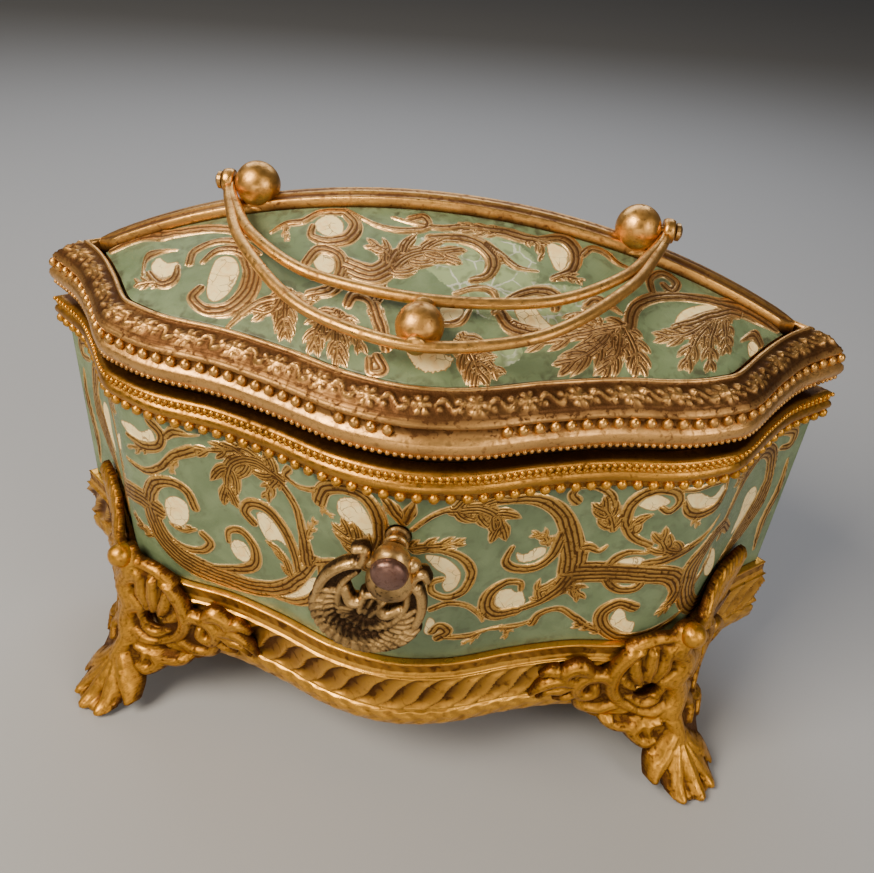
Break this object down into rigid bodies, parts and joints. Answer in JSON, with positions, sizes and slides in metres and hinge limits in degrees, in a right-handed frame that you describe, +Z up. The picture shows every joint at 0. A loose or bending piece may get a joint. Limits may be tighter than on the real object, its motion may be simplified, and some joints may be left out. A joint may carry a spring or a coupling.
{
  "type": "jewelry box",
  "caption": "Footed gilt-metal jewelry casket with enamelled scrollwork walls, a domed hinged lid, a folding handle and a turning key.",
  "frame": {"origin": "on the surface it stands on, under the middle of the whole object's box", "axes": "+X along the casket to its right-hand ear, -Y to its front with the keyhole, +Z up"},
  "size_m": [0.2122, 0.1336, 0.148],
  "materials": {
    "enamelled_brass": "sage green paint over engraved gilt scrollwork with ivory cells, worn at the edges",
    "gilt_brass": "bright ormolu gilding with dark recesses",
    "worn_gilt": "rubbed coppery gilding, dark in the recesses",
    "aged_brass": "dark brown patina, worn bright on its high spots",
    "lock_steel": "dull filed steel",
    "silk_lining": "faded old-gold silk, buttoned"
  },
  "bodies": {
    "casket": {"wall_front": "enamelled_brass", "wall_back": "enamelled_brass", "plinth_moulding": "gilt_brass", "base_plate": "worn_gilt", "body_rim": "gilt_brass", "inner_lip": "worn_gilt", "wall_lining": "silk_lining", "floor_pad": "silk_lining", "foot_front_left": "gilt_brass", "foot_front_right": "gilt_brass", "foot_back_left": "gilt_brass", "foot_back_right": "gilt_brass", "foot_screw_front_left": "lock_steel", "foot_screw_front_right": "lock_steel", "foot_screw_back_left": "lock_steel", "foot_screw_back_right": "lock_steel", "lock_case": "lock_steel", "lock_cover": "aged_brass", "lock_screw_left": "lock_steel", "lock_screw_right": "lock_steel", "drill_pin": "lock_steel", "hinge_leaf_body": "aged_brass", "hinge_pin": "lock_steel", "hinge_rivet_body_left": "aged_brass", "hinge_rivet_body_right": "aged_brass"},
    "lid": {"lid_rim": "worn_gilt", "lid_panel_front": "enamelled_brass", "lid_panel_back": "enamelled_brass", "ridge_band": "worn_gilt", "pivot_ball_left": "worn_gilt", "pivot_ball_right": "worn_gilt", "pivot_pin_left": "worn_gilt", "pivot_pin_right": "worn_gilt", "lid_lining": "silk_lining", "catch_plate": "lock_steel", "hinge_leaf_lid": "aged_brass", "hinge_rivet_lid_left": "aged_brass", "hinge_rivet_lid_right": "aged_brass"},
    "handle": {"handle_outer_bar": "worn_gilt", "handle_inner_bar": "worn_gilt", "handle_ball": "worn_gilt"},
    "lock_curtain": {"lock_curtain": "aged_brass"},
    "lock_bolt": {"lock_bolt": "lock_steel"},
    "key": {"key_shank": "aged_brass", "key_hub": "aged_brass", "key_cap": "aged_brass", "bow_pin": "aged_brass"},
    "key_bow": {"key_bow": "aged_brass"}
  },
  "joints": [
    {"name": "lid_hinge", "type": "hinge", "parent": "casket", "child": "lid", "pos_m": [0, 0.06495, 0.107], "axis": [-1, 0, 0], "range_deg": [0, 100]},
    {"name": "handle_swing", "type": "hinge", "parent": "lid", "child": "handle", "pos_m": [0, 0.00505, 0.1427], "axis": [-1, 0, 0], "range_deg": [0, 209]},
    {"name": "key_turn", "type": "hinge", "parent": "casket", "child": "lock_curtain", "pos_m": [0, -0.04595, 0.086], "axis": [0, -1, 0], "range_deg": [0, 180]},
    {"name": "bolt_slide", "type": "slide", "parent": "casket", "child": "lock_bolt", "axis": [0, 0, 1], "range_m": [0, 0.0062]},
    {"name": "key_withdraw", "type": "slide", "parent": "lock_curtain", "child": "key", "axis": [0, -1, 0], "range_m": [0, 0.016]},
    {"name": "bow_swing", "type": "hinge", "parent": "key", "child": "key_bow", "pos_m": [0, -0.06055, 0.086], "axis": [-0.9848, 0, 0.1736], "range_deg": [-10, 150]}
  ],
  "couplings": [
    {"joint": "bolt_slide", "follows": "key_turn", "m_per_rad": 0.00197}
  ]
}
